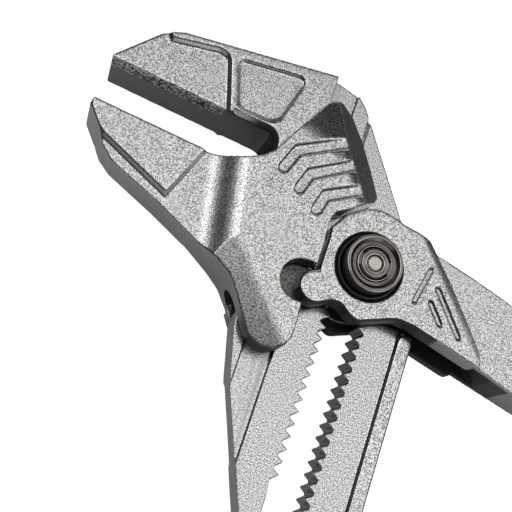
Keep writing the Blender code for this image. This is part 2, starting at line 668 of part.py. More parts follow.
# Grips
FIXED_GRIP_PATH = [(5.0, GRIP_TOP_Y), (5.6, GRIP_TOP_Y - 20.0), (6.0, GRIP_TOP_Y - 50.0),
                   (4.6, LEG_END_Y + 26.0), (2.4, LEG_END_Y - 1.0)]
FIXED_GRIP_HALVES = [10.8, 12.4, 12.8, 12.2, 11.6]
LEVER_GRIP_PATH = [(75.0, -17.0), LEVER_BEND, beyond_bend(24.0), beyond_bend(LEVER_TAIL - 39.0),
                   beyond_bend(LEVER_TAIL - LEVER_GRIP_SHORT)]
LEVER_GRIP_HALVES = [10.8, 12.2, 12.8, 12.4, 11.6]


def build_grip(name, path, halves, tang_path, tang_halves):
    body = prism(name, strip(path, halves, 10), -HEAD_HALF, HEAD_HALF, GRIP_EDGE, 4)
    fit = [h + GRIP_FIT for h in tang_halves]
    way = TANG_HALF + GRIP_FIT
    return cut(body, prism("tang_way", strip(tang_path, fit), -way, way))


# Pivot set
def build_washer(name, side):
    z = side * (BAR_HALF + SEAT)
    return prism(name, circle(WASHER_R), z, z + side * WASHER_T, holes=(circle(BORE_R + RUNNING)[::-1],))


def build_front_bush():
    hole = SHANK_R + 0.2
    return turned("front_bush", [
        (CUP_R, BUSH_END), (BUSH_R - 0.3, BUSH_END), (BUSH_R, BUSH_END - 0.3), (BUSH_R, BUSH_FOOT),
        (hole, BUSH_FOOT), (hole, CUP_FLOOR), (CUP_R, CUP_FLOOR)])


def build_back_bush():
    hole = SHANK_R + 0.2
    well = COLLAR_BACK - PRESS - CLEAR
    return turned("back_bush", [
        (WELL_R, -BUSH_FOOT), (BUSH_R, -BUSH_FOOT), (BUSH_R, -BUSH_END + 0.3), (BUSH_R - 0.3, -BUSH_END),
        (hole, -BUSH_END), (hole, well), (WELL_R, well)])


def build_bolt():
    tail = -BUSH_END + PRESS
    head = BUTTON_ROOF - 0.1
    edge = 0.4
    body = turned("joint_bolt", [
        (0.0, head), (SHANK_R - edge, head), (SHANK_R, head - edge), (SHANK_R, tail + edge),
        (SHANK_R - edge, tail), (0.0, tail)], 32)
    return join(body, prism("collar", collar_outline(), COLLAR_BACK, COLLAR_FRONT))


def build_button():
    top = BUTTON_TOP
    hole = PIN_R + 0.1
    wall = BUTTON_R - BUTTON_WALL
    first = hole + 0.65
    last = BUTTON_R - BUTTON_RIM - 0.2
    step = (last - first) / BUTTON_RINGS
    profile = [(hole, top - 0.5), (first, top - 0.5)]
    for k in range(BUTTON_RINGS):
        r = first + k * step
        profile += [(r + 0.13 * step, top - 0.25), (r + 0.47 * step, top - 0.25),
                    (r + 0.6 * step, top - 0.65), (r + 0.93 * step, top - 0.65)]
    profile += [(last, top - 0.1), (BUTTON_R - BUTTON_RIM, top), (BUTTON_R - 0.2, top), (BUTTON_R, top - 0.3),
                (BUTTON_R, BUTTON_SKIRT), (wall, BUTTON_SKIRT), (wall, BUTTON_ROOF), (hole, BUTTON_ROOF)]
    return turned("push_button", profile)


def build_pin():
    foot = BUTTON_ROOF + 0.05
    return turned("button_pin", [
        (0.0, BUTTON_TOP - 0.1), (PIN_R - 0.35, BUTTON_TOP - 0.15), (PIN_R, BUTTON_TOP - 0.5),
        (PIN_R, foot), (0.0, foot)], 24)


SPRING_LOW = CUP_FLOOR + SPRING_WIRE_R + 0.05
SPRING_HIGH = BUTTON_ROOF - SPRING_WIRE_R - 0.05


def build_spring():
    """One wire along a helix; prints the least space between neighbouring turns."""
    per_turn = 14
    count = int(SPRING_TURNS * per_turn)
    curve = bpy.data.curves.new("button_spring", 'CURVE')
    curve.dimensions = '3D'
    curve.bevel_depth = SPRING_WIRE_R * MM
    curve.bevel_resolution = 1
    curve.use_fill_caps = True
    spline = curve.splines.new('POLY')
    spline.points.add(count)
    for k in range(count + 1):
        turn = 2 * pi * k / per_turn
        z = SPRING_LOW + (SPRING_HIGH - SPRING_LOW) * k / count
        spline.points[k].co = (SPRING_R * cos(turn) * MM, SPRING_R * sin(turn) * MM, z * MM, 1.0)
    gap = (SPRING_HIGH - SPRING_LOW) / SPRING_TURNS - 2 * SPRING_WIRE_R
    print("button_spring: least gap between turns %.2f mm" % gap)
    obj = bpy.data.objects.new("button_spring", curve)
    TOOLS.objects.link(obj)
    return to_mesh(obj)


# Materials and the assembly tree
def material(name, colour, metallic, roughness):
    mat = bpy.data.materials.new(name)
    mat.use_nodes = True
    bsdf = mat.node_tree.nodes["Principled BSDF"]
    bsdf.inputs["Base Color"].default_value = (*colour, 1.0)
    bsdf.inputs["Metallic"].default_value = metallic
    bsdf.inputs["Roughness"].default_value = roughness
    return mat


def empty(name, parent=None):
    obj = bpy.data.objects.new(name, None)
    obj.empty_display_size = 0.01
    PARTS.objects.link(obj)
    obj.parent = parent
    return obj


def place(obj, name, parent, colour, metallic, roughness):
    TOOLS.objects.unlink(obj)
    PARTS.objects.link(obj)
    obj.name = name
    obj.data.name = name
    obj.parent = parent
    obj.data.materials.clear()
    obj.data.materials.append(material(name + "_mat", colour, metallic, roughness))
    return obj


STEEL = (0.56, 0.56, 0.57)
DARK = (0.22, 0.21, 0.2)
GRIP = (0.04, 0.04, 0.045)


def main():
    root = empty("tool_root")
    carriage = empty("carriage_axis", root)
    jaw_axis = empty("jaw_axis", carriage)
    lever_axis = empty("lever_axis", carriage)
    lock_axis = empty("lock_axis", carriage)
    nodes = [
        place(build_fixed_jaw_leg(), "fixed_jaw_leg", root, STEEL, 1.0, 0.35),
        place(build_grip("fixed_grip", FIXED_GRIP_PATH, FIXED_GRIP_HALVES, TANG_PATH, TANG_HALVES),
              "fixed_grip", root, GRIP, 0.0, 0.6),
        place(build_moving_jaw(), "moving_jaw", jaw_axis, STEEL, 1.0, 0.35),
        place(build_lever_leg(), "lever_leg", lever_axis, STEEL, 1.0, 0.35),
        place(build_grip("lever_grip", LEVER_GRIP_PATH, LEVER_GRIP_HALVES, LEVER_AXIS, LEVER_HALVES),
              "lever_grip", lever_axis, GRIP, 0.0, 0.6),
        place(build_washer("front_thrust_washer", 1), "front_thrust_washer", carriage, STEEL, 1.0, 0.3),
        place(build_washer("back_thrust_washer", -1), "back_thrust_washer", carriage, STEEL, 1.0, 0.3),
        place(build_front_bush(), "front_bush", carriage, DARK, 1.0, 0.25),
        place(build_back_bush(), "back_bush", carriage, DARK, 1.0, 0.25),
        place(build_bolt(), "joint_bolt", lock_axis, DARK, 1.0, 0.25),
        place(build_button(), "push_button", lock_axis, DARK, 1.0, 0.2),
        place(build_pin(), "button_pin", lock_axis, STEEL, 1.0, 0.3),
        place(build_spring(), "button_spring", carriage, STEEL, 1.0, 0.3),
    ]
    bpy.context.view_layer.update()
    corners = [v.co for n in nodes for v in n.data.vertices]
    low = [min(c[i] for c in corners) for i in range(3)]
    high = [max(c[i] for c in corners) for i in range(3)]
    root.location = (-0.5 * (low[0] + high[0]), -0.5 * (low[1] + high[1]), -low[2])
    TOOLS.hide_render = True
    for obj in TOOLS.objects:
        obj.hide_render = True
        obj.display_type = 'WIRE'
    bpy.context.view_layer.update()
    print("pivot axis at (mm): %.3f %.3f, bar middle at %.3f" % tuple(c / MM for c in root.location))
    print("size (mm): %.2f %.2f %.2f" % tuple((high[i] - low[i]) / MM for i in range(3)))


main()
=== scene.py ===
"""Looks of a pliers wrench with a sliding jaw: blasted steel head, dark press button, moulded grips.

Every steel piece starts from its solid, which is meshed finely, has its edges worn round and gets a
finish that follows the surface. The button with its arcs and the coil spring are modelled here.
"""
import json
from math import pi, radians

import bmesh
import bpy
import numpy as np
from mathutils import Euler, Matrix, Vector


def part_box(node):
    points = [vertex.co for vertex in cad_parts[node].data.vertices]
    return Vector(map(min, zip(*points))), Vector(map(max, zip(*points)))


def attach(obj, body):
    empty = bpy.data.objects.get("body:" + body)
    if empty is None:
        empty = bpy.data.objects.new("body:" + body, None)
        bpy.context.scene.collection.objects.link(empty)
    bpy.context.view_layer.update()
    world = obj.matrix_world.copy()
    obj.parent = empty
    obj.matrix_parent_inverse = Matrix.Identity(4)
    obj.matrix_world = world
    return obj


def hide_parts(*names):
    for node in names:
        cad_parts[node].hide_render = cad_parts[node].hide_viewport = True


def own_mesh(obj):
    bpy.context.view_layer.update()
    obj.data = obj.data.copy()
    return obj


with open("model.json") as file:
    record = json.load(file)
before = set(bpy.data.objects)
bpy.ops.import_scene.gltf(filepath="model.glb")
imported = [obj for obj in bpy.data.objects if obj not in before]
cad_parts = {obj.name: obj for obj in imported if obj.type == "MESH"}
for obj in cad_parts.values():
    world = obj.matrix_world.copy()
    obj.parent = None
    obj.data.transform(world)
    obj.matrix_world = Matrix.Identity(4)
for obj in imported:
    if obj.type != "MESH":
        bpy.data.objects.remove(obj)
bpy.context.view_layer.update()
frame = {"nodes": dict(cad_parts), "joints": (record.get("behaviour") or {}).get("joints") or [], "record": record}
MM = 0.001

# The pivot stands where the lever turns, and the middle of the bar is at its height
SWING = next(j for j in frame["joints"] if j["name"] == "lever_swing")
PIVOT = Vector(SWING["pos_m"])

# Camera of the photograph, from the pivot: place (mm), turn (degrees), lens, sensor and nearest view (mm)
CAMERA_AT = (-52.748, -68.982, 202.823)
CAMERA_TURN = (13.853, -13.781, 19.048)
CAMERA_LENS = 68.75
CAMERA_SENSOR = 36.0
CAMERA_NEAR = 5.0

# Meshing of the worn pieces: voxel (mm) and rounds of smoothing for each kind of piece
FORGED_MESH = (0.25, 4)
TURNED_MESH = (0.12, 3)
WASHER_MESH = (0.20, 3)
PIN_MESH = (0.08, 3)
GRIP_MESH = (0.50, 6)
SMOOTHING = 0.5
MOST_TRIANGLES = 180000
JOIN_WITHIN = 0.001

# Bend of the surface, stored on the points: the most that counts (1/mm) and the shortest edge (mm)
MOST_BEND = 4.0
SHORTEST_EDGE = 0.01

# Gripping faces: how near a face lies to the plane of the mount (mm) and how square it is to the axis
GRIP_NEAR = 0.35
GRIP_FACING = 0.85

# They are ground flat up to this height over the middle and torn beyond it, left of this place across
# from the pivot. The border is ragged, and it fades over so much to each side (mm).
GROUND_TO_Z = 2.6
TORN_TO_X = -41.0
TORN_RAGGED = 0.5
TORN_FADE = 0.3
TORN_END_FADE = 0.5

# Guide grooves of the bar: across from the pivot, half the thickness left between them, how near to that
# a floor lies (mm), and how level it is
GROOVE_FROM = -19.5
GROOVE_TO = -12.5
GROOVE_HALF = 2.6
GROOVE_NEAR = 0.2
GROOVE_LEVEL = 0.9

# Button: radius and height of its face from the rim inwards, its hole, wall and roof, the steps of the
# mesh, and the pair of arcs sunk into it (mm)
BUTTON_FACE = [(6.30, -0.30), (6.24, -0.13), (6.12, -0.03), (5.98, 0.0), (5.72, 0.0), (5.58, -0.06),
               (5.45, -0.18), (5.00, -0.68), (4.88, -0.77), (4.74, -0.80), (4.08, -0.80), (3.99, -0.74),
               (3.88, -0.42), (3.79, -0.36), (3.10, -0.36), (3.02, -0.32), (2.92, -0.15), (2.84, -0.12),
               (2.54, -0.12), (2.48, -0.17), (2.40, -0.32), (2.32, -0.17), (2.26, -0.12), (2.02, -0.12),
               (1.92, -0.18), (1.86, -0.35)]
BUTTON_SIDE_R = BUTTON_FACE[1][0]
BUTTON_HOLE = 1.85
BUTTON_LIP = 0.6
BUTTON_WALL = 0.7
BUTTON_ROOF = 1.8
BUTTON_STEP = 0.05
BUTTON_STEPS = 192
ARC_R = 3.45
ARC_WIDE = 0.28
ARC_DEPTH = 0.4
ARC_HALF = radians(70.0)
ARC_END = 0.35

# Spring under the button: wire and stroke (mm), turns, points to a turn and sides of the wire
SPRING_WIRE_R = 0.35
SPRING_TURNS = 4.0
SPRING_STEPS = 48
WIRE_SIDES = 16

# Pocket in the front cheek of the moving jaw, from the pivot: middle, radius and floor (mm)
POCKET_AT = (-13.3, -8.4)
POCKET_R = 4.7
POCKET_LEVEL = 9.9

# Painted shade, near black, on the moving jaw: on the walls of its lower end and on its edge towards the teeth:
# where it sets in and is full, by depth below the pivot (mm), level of the surface and turn to the right
JAW_WALL_BELOW = (17.0, 22.0)
JAW_WALL_LEVEL = (0.85, 0.60)
JAW_EDGE_BELOW = (11.0, 14.0)
JAW_EDGE_LEVEL = (0.998, 0.97)
JAW_EDGE_FACES = (0.02, 0.08)

# Painted shade at the end of the throat of the fixed jaw: its middle from the pivot, how far it reaches (mm)
THROAT_AT = (-29.0, 20.5)
THROAT_REACH = (7.5, 3.5)
THROAT_LEVEL = (0.97, 0.80)

# Painted shade on the lever head: its underside as far as X, the back arm, and the gap of the fork (mm)
SHADE_TO_X = 19.0
SHADE_FACING = -0.3
BACK_ARM_Z = -5.1
FORK_GAP_HALF = 5.2
FORK_END_X = 40.0

# Tones of the finishes, the dark one of a pair first
GRAIN_TONES = ((0.20, 0.20, 0.20), (0.93, 0.925, 0.91))
CLOUD_TONE = (0.60, 0.605, 0.60)
# Side walls: bluish, and darker than the level faces as painted shade
SHADED_WALL_TONES = ((0.30, 0.315, 0.34), (0.42, 0.435, 0.46))
# Convex edges: worn bright, and brightened further as a painted highlight
WORN_EDGE_AND_HIGHLIGHT_TONE = (0.70, 0.70, 0.69)
# Concave corners: painted shade
PAINTED_CORNER_SHADE = (0.05, 0.05, 0.05)
# Painted shade, near black, where the moving jaw and the throat lie in shade
PAINTED_SHADE_TONE = (0.02, 0.02, 0.021)
POCKET_TONES = ((0.10, 0.097, 0.09), (0.34, 0.33, 0.31))
MILLED_TONES = ((0.32, 0.32, 0.315), (0.90, 0.895, 0.88))
STREAK_TONE = (0.36, 0.355, 0.34)
# Ground gripping faces: dark steel, partly painted shade between the jaws
GROUND_AND_SHADE_TONES = ((0.24, 0.24, 0.235), (0.30, 0.30, 0.295))
TORN_TONES = ((0.015, 0.015, 0.015), (0.95, 0.95, 0.93))
CHROME_TONES = ((0.12, 0.112, 0.10), (0.19, 0.178, 0.16))
# Painted shade in the corners of the plating
CHROME_PAINTED_SHADE = (0.02, 0.019, 0.017)
# Painted highlight along the edges of the plating
CHROME_PAINTED_HIGHLIGHT = (0.86, 0.83, 0.77)
# Near black: the dark bushes, and painted shade on the side wall of the button, under the lever head and in its
# fork gap
BLACK_AND_SHADE_TONES = ((0.012, 0.012, 0.013), (0.028, 0.028, 0.03))
PIN_TONES = ((0.50, 0.46, 0.39), (0.80, 0.76, 0.68))
BARE_TONES = ((0.42, 0.42, 0.43), (0.55, 0.55, 0.55))
PLASTIC_TONES = ((0.022, 0.022, 0.024), (0.034, 0.034, 0.036))
PLASTIC_EDGE = (0.05, 0.05, 0.052)
METAL = 1.0
NO_METAL = 0.0

# Studio: a broad panel overhead. Its edges are parts of the heading to left, right, front, back and down,
# from dark to full, and it dims towards the back. A glow to the left, three low panels and dim walls fill
# the rest, and the camera sees a pale backdrop.
PANEL_EDGES = (("X", (-0.80, -0.758)), ("X", (0.92, 0.80)), ("Y", (-0.45, 0.12)), ("Y", (0.72, 0.42)),
               ("Z", (-0.05, 0.05)))
PANEL_POWER = 1.08
PANEL_DIMS = 0.5
GLOW_TOWARDS = (-0.58, 0.22, 0.78)
GLOW_NARROW = 80.0
GLOW_POWER = 1.0
FRONT_EDGE = (-0.65, -0.90)
FRONT_POWER = 0.45
BACK_EDGE = (0.80, 0.90)
BACK_POWER = 0.5
SIDE_TOWARDS = (0.66, -0.68, 0.30)
SIDE_EDGE = (0.82, 0.96)
SIDE_POWER = 0.6
ROOM = 0.04
WALLS = 0.15
WALL_TOP = (0.10, 0.30)
BACKDROP = (0.93, 0.93, 0.93)

# Pale floor: half its size (m), how far it lies under the tool (mm), its own brightness for the camera,
# and the pool of light on it, from the pivot (mm)
FLOOR_HALF = 6.0
FLOOR_DROP = 0.3
FLOOR_GLOW = 0.95
FLOOR_ROUGH = 0.9
POOL_AT = (0.0, -80.0)
POOL_EDGE = (105.0, 150.0)
POOL_TONE = (0.85, 0.85, 0.85)
FAR_TONE = (0.12, 0.12, 0.12)
GLOW_TONE = (1.0, 1.0, 1.0)

# Middle part of the range of a noise
MIDDLE = (0.3, 0.7)

# Colour sockets of the Mix node, which has others of the same names
MIX_A = 6
MIX_B = 7
MIX_RESULT = 2


# Meshes
def link(obj):
    bpy.context.scene.collection.objects.link(obj)
    return obj


def shade_smooth(mesh):
    mesh.polygons.foreach_set("use_smooth", [True] * len(mesh.polygons))


def settle(obj):
    """Applies the modifiers of an object by taking its evaluated mesh."""
    bpy.context.view_layer.update()
    deps = bpy.context.evaluated_depsgraph_get()
    mesh = bpy.data.meshes.new_from_object(obj.evaluated_get(deps))
    obj.modifiers.clear()
    old = obj.data
    obj.data = mesh
    bpy.data.meshes.remove(old)


def merged_copy(node, name):
    """The solid of a node as a new object whose triangles are joined."""
    mesh = frame["nodes"][node].data.copy()
    shell = bmesh.new()
    shell.from_mesh(mesh)
    bmesh.ops.remove_doubles(shell, verts=shell.verts, dist=JOIN_WITHIN * MM)
    shell.to_mesh(mesh)
    shell.free()
    mesh.materials.clear()
    return link(bpy.data.objects.new(name, mesh))


def worn(node, name, voxel, passes):
    """A fine mesh of a solid with its edges worn round."""
    obj = merged_copy(node, name)
    remesh = obj.modifiers.new("remesh", 'REMESH')
    remesh.mode = 'VOXEL'
    remesh.voxel_size = voxel * MM
    remesh.adaptivity = 0.0
    smooth = obj.modifiers.new("wear", 'SMOOTH')
    smooth.factor = SMOOTHING
    smooth.iterations = passes
    settle(obj)
    triangles = 2 * len(obj.data.polygons)
    if triangles > MOST_TRIANGLES:
        thin = obj.modifiers.new("thin", 'DECIMATE')
        thin.ratio = MOST_TRIANGLES / triangles
        settle(obj)
    shade_smooth(obj.data)
    return obj


def arrays(things, place):
    """Places and normals of all the points or faces of a mesh."""
    found = []
    for key in (place, "normal"):
        values = np.empty(3 * len(things))
        things.foreach_get(key, values)
        found.append(values.reshape(-1, 3))
    return found


def from_pivot(places):
    """Places in mm from the pivot."""
    return (places - np.array(PIVOT)) / MM


def ramp(values, start, full):
    """0 at the first value, 1 at the second, straight between them and held beyond them."""
    return np.clip((values - start) / (full - start), 0.0, 1.0)


def store(mesh, name, values):
    """Keeps a number on every point, for the finishes to read."""
    held = mesh.attributes.new(name, 'FLOAT', 'POINT')
    held.data.foreach_set("value", values.astype(np.float32))


def surface_numbers(mesh):
    """Stores on every point how level the surface is there and how sharply it bends, in 1/mm."""
    points, normals = arrays(mesh.vertices, "co")
    points = points / MM
    count = len(points)
    ends = np.empty(2 * len(mesh.edges), dtype=np.int32)
    mesh.edges.foreach_get("vertices", ends)
    one, two = ends.reshape(-1, 2).T
    here = np.concatenate((one, two))
    there = np.concatenate((two, one))
    step = points[there] - points[here]
    drop = -2.0 * (step * normals[here]).sum(axis=1)
    bend = drop / np.maximum((step * step).sum(axis=1), SHORTEST_EDGE ** 2)
    around = np.maximum(np.bincount(here, minlength=count), 1)
    bend = np.bincount(here, np.clip(bend, -MOST_BEND, MOST_BEND), count) / around
    bend = 0.5 * bend + 0.5 * np.bincount(here, bend[there], count) / around
    store(mesh, "level", np.abs(normals[:, 2]))
    store(mesh, "bend", bend)


# Node helpers for the finishes
class Shader:
    """The nodes of a new material or world and short ways to add to them."""

    def __init__(self, name, kind="materials"):
        self.owner = getattr(bpy.data, kind).new(name)
        self.owner.use_nodes = True
        self.tree = self.owner.node_tree
        self.bsdf = self.tree.nodes.get("Principled BSDF")
        self.coords = self.node('ShaderNodeTexCoord').outputs

    def node(self, kind, **settings):
        made = self.tree.nodes.new(kind)
        for key, value in settings.items():
            setattr(made, key, value)
        return made

    def feed(self, socket, value):
        """Sets a socket to a number or a colour, or links it to another socket."""
        if isinstance(value, (int, float)):
            socket.default_value = value
        elif isinstance(value, tuple):
            socket.default_value = (*value, 1.0)
        else:
            self.tree.links.new(value, socket)

    def axes(self, source):
        """The X, Y and Z of a place or a heading."""
        split = self.node('ShaderNodeSeparateXYZ')
        self.feed(split.inputs["Vector"], source)
        return split.outputs

    def vector_math(self, operation, source, vector):
        made = self.node('ShaderNodeVectorMath', operation=operation)
        self.feed(made.inputs[0], source)
        made.inputs[1].default_value = vector
        return made.outputs["Value"]

    def math(self, operation, a, b):
        made = self.node('ShaderNodeMath', operation=operation)
        self.feed(made.inputs[0], a)
        self.feed(made.inputs[1], b)
        return made.outputs["Value"]

    def noise(self, scale, detail=2.0, roughness=0.5, stretch=None):
        """Noise of about so many cells to the metre, which can be squeezed along the axes."""
        noise = self.node('ShaderNodeTexNoise')
        place = self.coords["Object"]
        if stretch:
            mapping = self.node('ShaderNodeMapping')
            mapping.inputs["Scale"].default_value = stretch
            self.feed(mapping.inputs["Vector"], place)
            place = mapping.outputs["Vector"]
        for name, value in (("Vector", place), ("Scale", scale), ("Detail", detail),
                            ("Roughness", roughness)):
            self.feed(noise.inputs[name], value)
        return noise.outputs["Fac"]

    def span(self, source, low, high, to_low=0.0, to_high=1.0, kind='SMOOTHSTEP'):
        """Goes from one number to the other while the source goes from low to high."""
        span = self.node('ShaderNodeMapRange', interpolation_type=kind)
        for name, value in (("Value", source), ("From Min", low), ("From Max", high),
                            ("To Min", to_low), ("To Max", to_high)):
            self.feed(span.inputs[name], value)
        return span.outputs["Result"]

    def mix(self, share, a, b):
        """Colour a where the share is 0 and b where it is 1."""
        mix = self.node('ShaderNodeMix', data_type='RGBA')
        self.feed(mix.inputs["Factor"], share)
        self.feed(mix.inputs[MIX_A], a)
        self.feed(mix.inputs[MIX_B], b)
        return mix.outputs[MIX_RESULT]

    def held(self, name, low=0.0, high=1.0):
        """A number stored on the points of the piece, run from 0 to 1 between two values."""
        held = self.node('ShaderNodeAttribute', attribute_name=name)
        return self.span(held.outputs["Fac"], low, high)

    def camera_ray(self):
        return self.node('ShaderNodeLightPath').outputs["Is Camera Ray"]

    def finish(self, colour, rough, metal, grain, strength, depth):
        """The material with its colour, roughness and metal, and a grain raised to a depth in mm."""
        bump = self.node('ShaderNodeBump')
        for name, value in (("Height", grain), ("Strength", strength), ("Distance", depth * MM)):
            self.feed(bump.inputs[name], value)
        for name, value in (("Base Color", colour), ("Roughness", rough), ("Metallic", metal),
                            ("Normal", bump.outputs["Normal"])):
            self.feed(self.bsdf.inputs[name], value)
        return self.owner


# Finishes
def blast_grain(s):
    """Fine grain of blasted steel, in two sizes."""
    return s.math('ADD', s.noise(3000.0, 2.0, 0.6), s.noise(5500.0, 2.0, 0.6))


def blasted_steel():
    """Forged faces blasted to a fine grain; the trimmed walls are smoother and bluish, and are painted darker as
    shade.

    Edges are worn bright and carry a painted highlight, corners are painted dark as shade, and painted shade is
    black and dull where the moving jaw and the throat lie in shade.
    """
    s = Shader("blasted_steel")
    grain = blast_grain(s)
    cloud = s.noise(90.0, 3.0)
    level = s.held("level", 0.6, 0.9)
    # Share of painted shade, stored on the points of the moving jaw and of the fixed jaw
    scale = s.held("scale")
    face = s.mix(s.span(grain, 0.86, 1.14), *GRAIN_TONES)
    face = s.mix(s.span(cloud, 0.4, 0.8, 0.0, 0.4), face, CLOUD_TONE)
    # Side walls are painted darker than the level faces, as shade
    wall = s.mix(s.span(grain, 0.7, 1.3), *SHADED_WALL_TONES)
    colour = s.mix(level, wall, face)
    # Convex edges are worn bright and carry a painted highlight
    colour = s.mix(s.held("bend", 0.9, 2.0), colour, WORN_EDGE_AND_HIGHLIGHT_TONE)
    # Concave corners are painted dark as shade
    colour = s.mix(s.held("bend", -1.6, -0.5), PAINTED_CORNER_SHADE, colour)
    # Painted shade, near black, where that share is full
    colour = s.mix(scale, colour, PAINTED_SHADE_TONE)
    rough = s.math('ADD', s.span(cloud, *MIDDLE, 0.13, 0.17), s.span(scale, 0.0, 1.0, 0.0, 0.35))
    metal = s.span(scale, 0.0, 1.0, METAL, NO_METAL)
    return s.finish(colour, rough, metal, grain, s.span(level, 0.0, 1.0, 0.1, 0.25), 0.05)


def pocket_steel():
    """Floor of the pocket, left dull and a little brown."""
    s = Shader("pocket_steel")
    grain = s.noise(1800.0, 3.0, 0.6)
    colour = s.mix(s.span(grain, 0.35, 0.65), *POCKET_TONES)
    return s.finish(colour, s.span(grain, *MIDDLE, 0.35, 0.5), METAL, grain, 0.8, 0.15)


def milled_steel():
    """Floor of the guide groove: a blasted grain too, with soft streaks along the bar."""
    s = Shader("milled_steel")
    streaks = s.noise(260.0, 3.0, 0.6, (3.0, 0.1, 1.0))
    grain = blast_grain(s)
    colour = s.mix(s.span(grain, 0.82, 1.18), *MILLED_TONES)
    colour = s.mix(s.span(streaks, 0.45, 0.75, 0.0, 0.6), colour, STREAK_TONE)
    return s.finish(colour, s.span(streaks, *MIDDLE, 0.18, 0.3), METAL, grain, 0.25, 0.05)


def ground_steel():
    """Gripping faces: fine grinding lines along the jaw, dark and partly painted as the shade between the jaws,
    and a torn grain towards the front.
    """
    s = Shader("ground_steel")
    lines = s.noise(700.0, 2.0, 0.5, (0.12, 1.0, 3.0))
    grain = s.noise(1500.0, 3.0, 0.7)
    place = s.axes(s.coords["Object"])
    to_front = s.math('SUBTRACT', place["Z"], PIVOT.z)
    ragged = s.span(grain, 0.2, 0.8, -TORN_RAGGED * MM, TORN_RAGGED * MM, 'LINEAR')
    torn = s.span(s.math('ADD', to_front, ragged), (GROUND_TO_Z - TORN_FADE) * MM,
                  (GROUND_TO_Z + TORN_FADE) * MM)
    end, fade = PIVOT.x + TORN_TO_X * MM, TORN_END_FADE * MM
    torn = s.math('MULTIPLY', torn, s.span(place["X"], end + fade, end - fade))
    # Ground part, dark, partly as painted shade between the jaws
    smooth_face = s.mix(s.span(lines, *MIDDLE), *GROUND_AND_SHADE_TONES)
    torn_face = s.mix(s.span(grain, 0.46, 0.56), *TORN_TONES)
    colour = s.mix(torn, smooth_face, torn_face)
    metal = s.span(torn, 0.0, 1.0, METAL, NO_METAL)
    rough = s.span(lines, *MIDDLE, 0.34, 0.44)
    return s.finish(colour, rough, metal, grain, s.span(torn, 0.0, 1.0, 0.02, 1.0), 0.4)


def dark_chrome():
    """Polished dark plating of the button and the bolt, with painted shade in its corners and a painted highlight
    along its edges.
    """
    s = Shader("dark_chrome")
    cloud = s.noise(400.0, 3.0)
    grain = s.noise(3000.0, 2.0)
    colour = s.mix(s.span(cloud, *MIDDLE), *CHROME_TONES)
    # Painted shade in concave corners
    colour = s.mix(s.held("bend", -2.0, -0.4), CHROME_PAINTED_SHADE, colour)
    # Painted highlight along convex edges
    colour = s.mix(s.held("bend", 0.6, 2.0), colour, CHROME_PAINTED_HIGHLIGHT)
    return s.finish(colour, s.span(grain, *MIDDLE, 0.12, 0.2), METAL, grain, 0.08, 0.05)


def black_oxide_and_painted_shade():
    """Near-black finish: the bushes, dark steel painted as the shade of the hole round the button; the side wall
    of the button, painted as shade in that hole; and painted shade under the lever head and in its fork gap.
    """
    s = Shader("black_oxide_and_painted_shade")
    grain = s.noise(2000.0, 3.0, 0.6)
    colour = s.mix(s.span(grain, *MIDDLE), *BLACK_AND_SHADE_TONES)
    return s.finish(colour, s.span(grain, *MIDDLE, 0.38, 0.5), NO_METAL, grain, 0.3, 0.06)


def pin_steel():
    """Rivet pin in the middle of the button, pale and a little warm."""
    s = Shader("pin_steel")
    grain = s.noise(2600.0, 3.0, 0.7)
    colour = s.mix(s.span(grain, 0.35, 0.65), *PIN_TONES)
    return s.finish(colour, s.span(grain, *MIDDLE, 0.3, 0.45), METAL, grain, 0.3, 0.08)


def bare_steel():
    """Turned washers and drawn spring wire."""
    s = Shader("bare_steel")
    grain = s.noise(1800.0, 2.0)
    colour = s.mix(s.span(grain, *MIDDLE), *BARE_TONES)
    return s.finish(colour, s.span(grain, *MIDDLE, 0.25, 0.35), METAL, grain, 0.1, 0.05)


def grip_plastic():
    """Soft charcoal plastic with the grain of its mould, a little paler along its edges."""
    s = Shader("grip_plastic")
    grain = s.noise(1400.0, 4.0, 0.6)
    cloud = s.noise(45.0, 3.0)
    colour = s.mix(s.span(cloud, *MIDDLE), *PLASTIC_TONES)
    colour = s.mix(s.held("bend", 0.15, 0.5), colour, PLASTIC_EDGE)
    return s.finish(colour, s.span(cloud, *MIDDLE, 0.48, 0.62), NO_METAL, grain, 0.35, 0.12)


# Where the finishes lie
def gripping_face(obj, mount):
    """Faces that lie on a gripping face of the jaws."""
    spot = next(m for m in frame["record"]["mounts"] if m["name"] == mount)
    point, axis = np.array(spot["pos_m"]), np.array(spot["axis"])
    centres, normals = arrays(obj.data.polygons, "center")
    on_plane = np.abs((centres - point) @ axis) < GRIP_NEAR * MM
    return on_plane & (normals @ axis > GRIP_FACING)


def groove_floor(obj):
    """Faces on the floors of the two guide grooves of the bar."""
    centres, normals = arrays(obj.data.polygons, "center")
    across, _, height = from_pivot(centres).T
    between = (across > GROOVE_FROM) & (across < GROOVE_TO)
    at_floor = np.abs(np.abs(height) - GROOVE_HALF) < GROOVE_NEAR
    return between & at_floor & (np.abs(normals[:, 2]) > GROOVE_LEVEL)


def pocket_floor(obj):
    """Faces inside the round pocket of the moving jaw."""
    x, y, z = from_pivot(arrays(obj.data.polygons, "center")[0]).T
    inside = np.hypot(x - POCKET_AT[0], y - POCKET_AT[1]) < POCKET_R
    return inside & (z > 0.0) & (z < POCKET_LEVEL)


def lever_painted_shade(obj):
    """Faces painted near black as shade: the fork gap of the lever, and its underside near the nose and at the
    back.
    """
    centres, normals = arrays(obj.data.polygons, "center")
    x, y, z = from_pivot(centres).T
    under = (normals[:, 1] < SHADE_FACING) & (y < 0.0)
    hidden = (x < SHADE_TO_X) | (z < BACK_ARM_Z)
    gap = (np.abs(z) < FORK_GAP_HALF) & (x < FORK_END_X)
    return (under & hidden) | gap


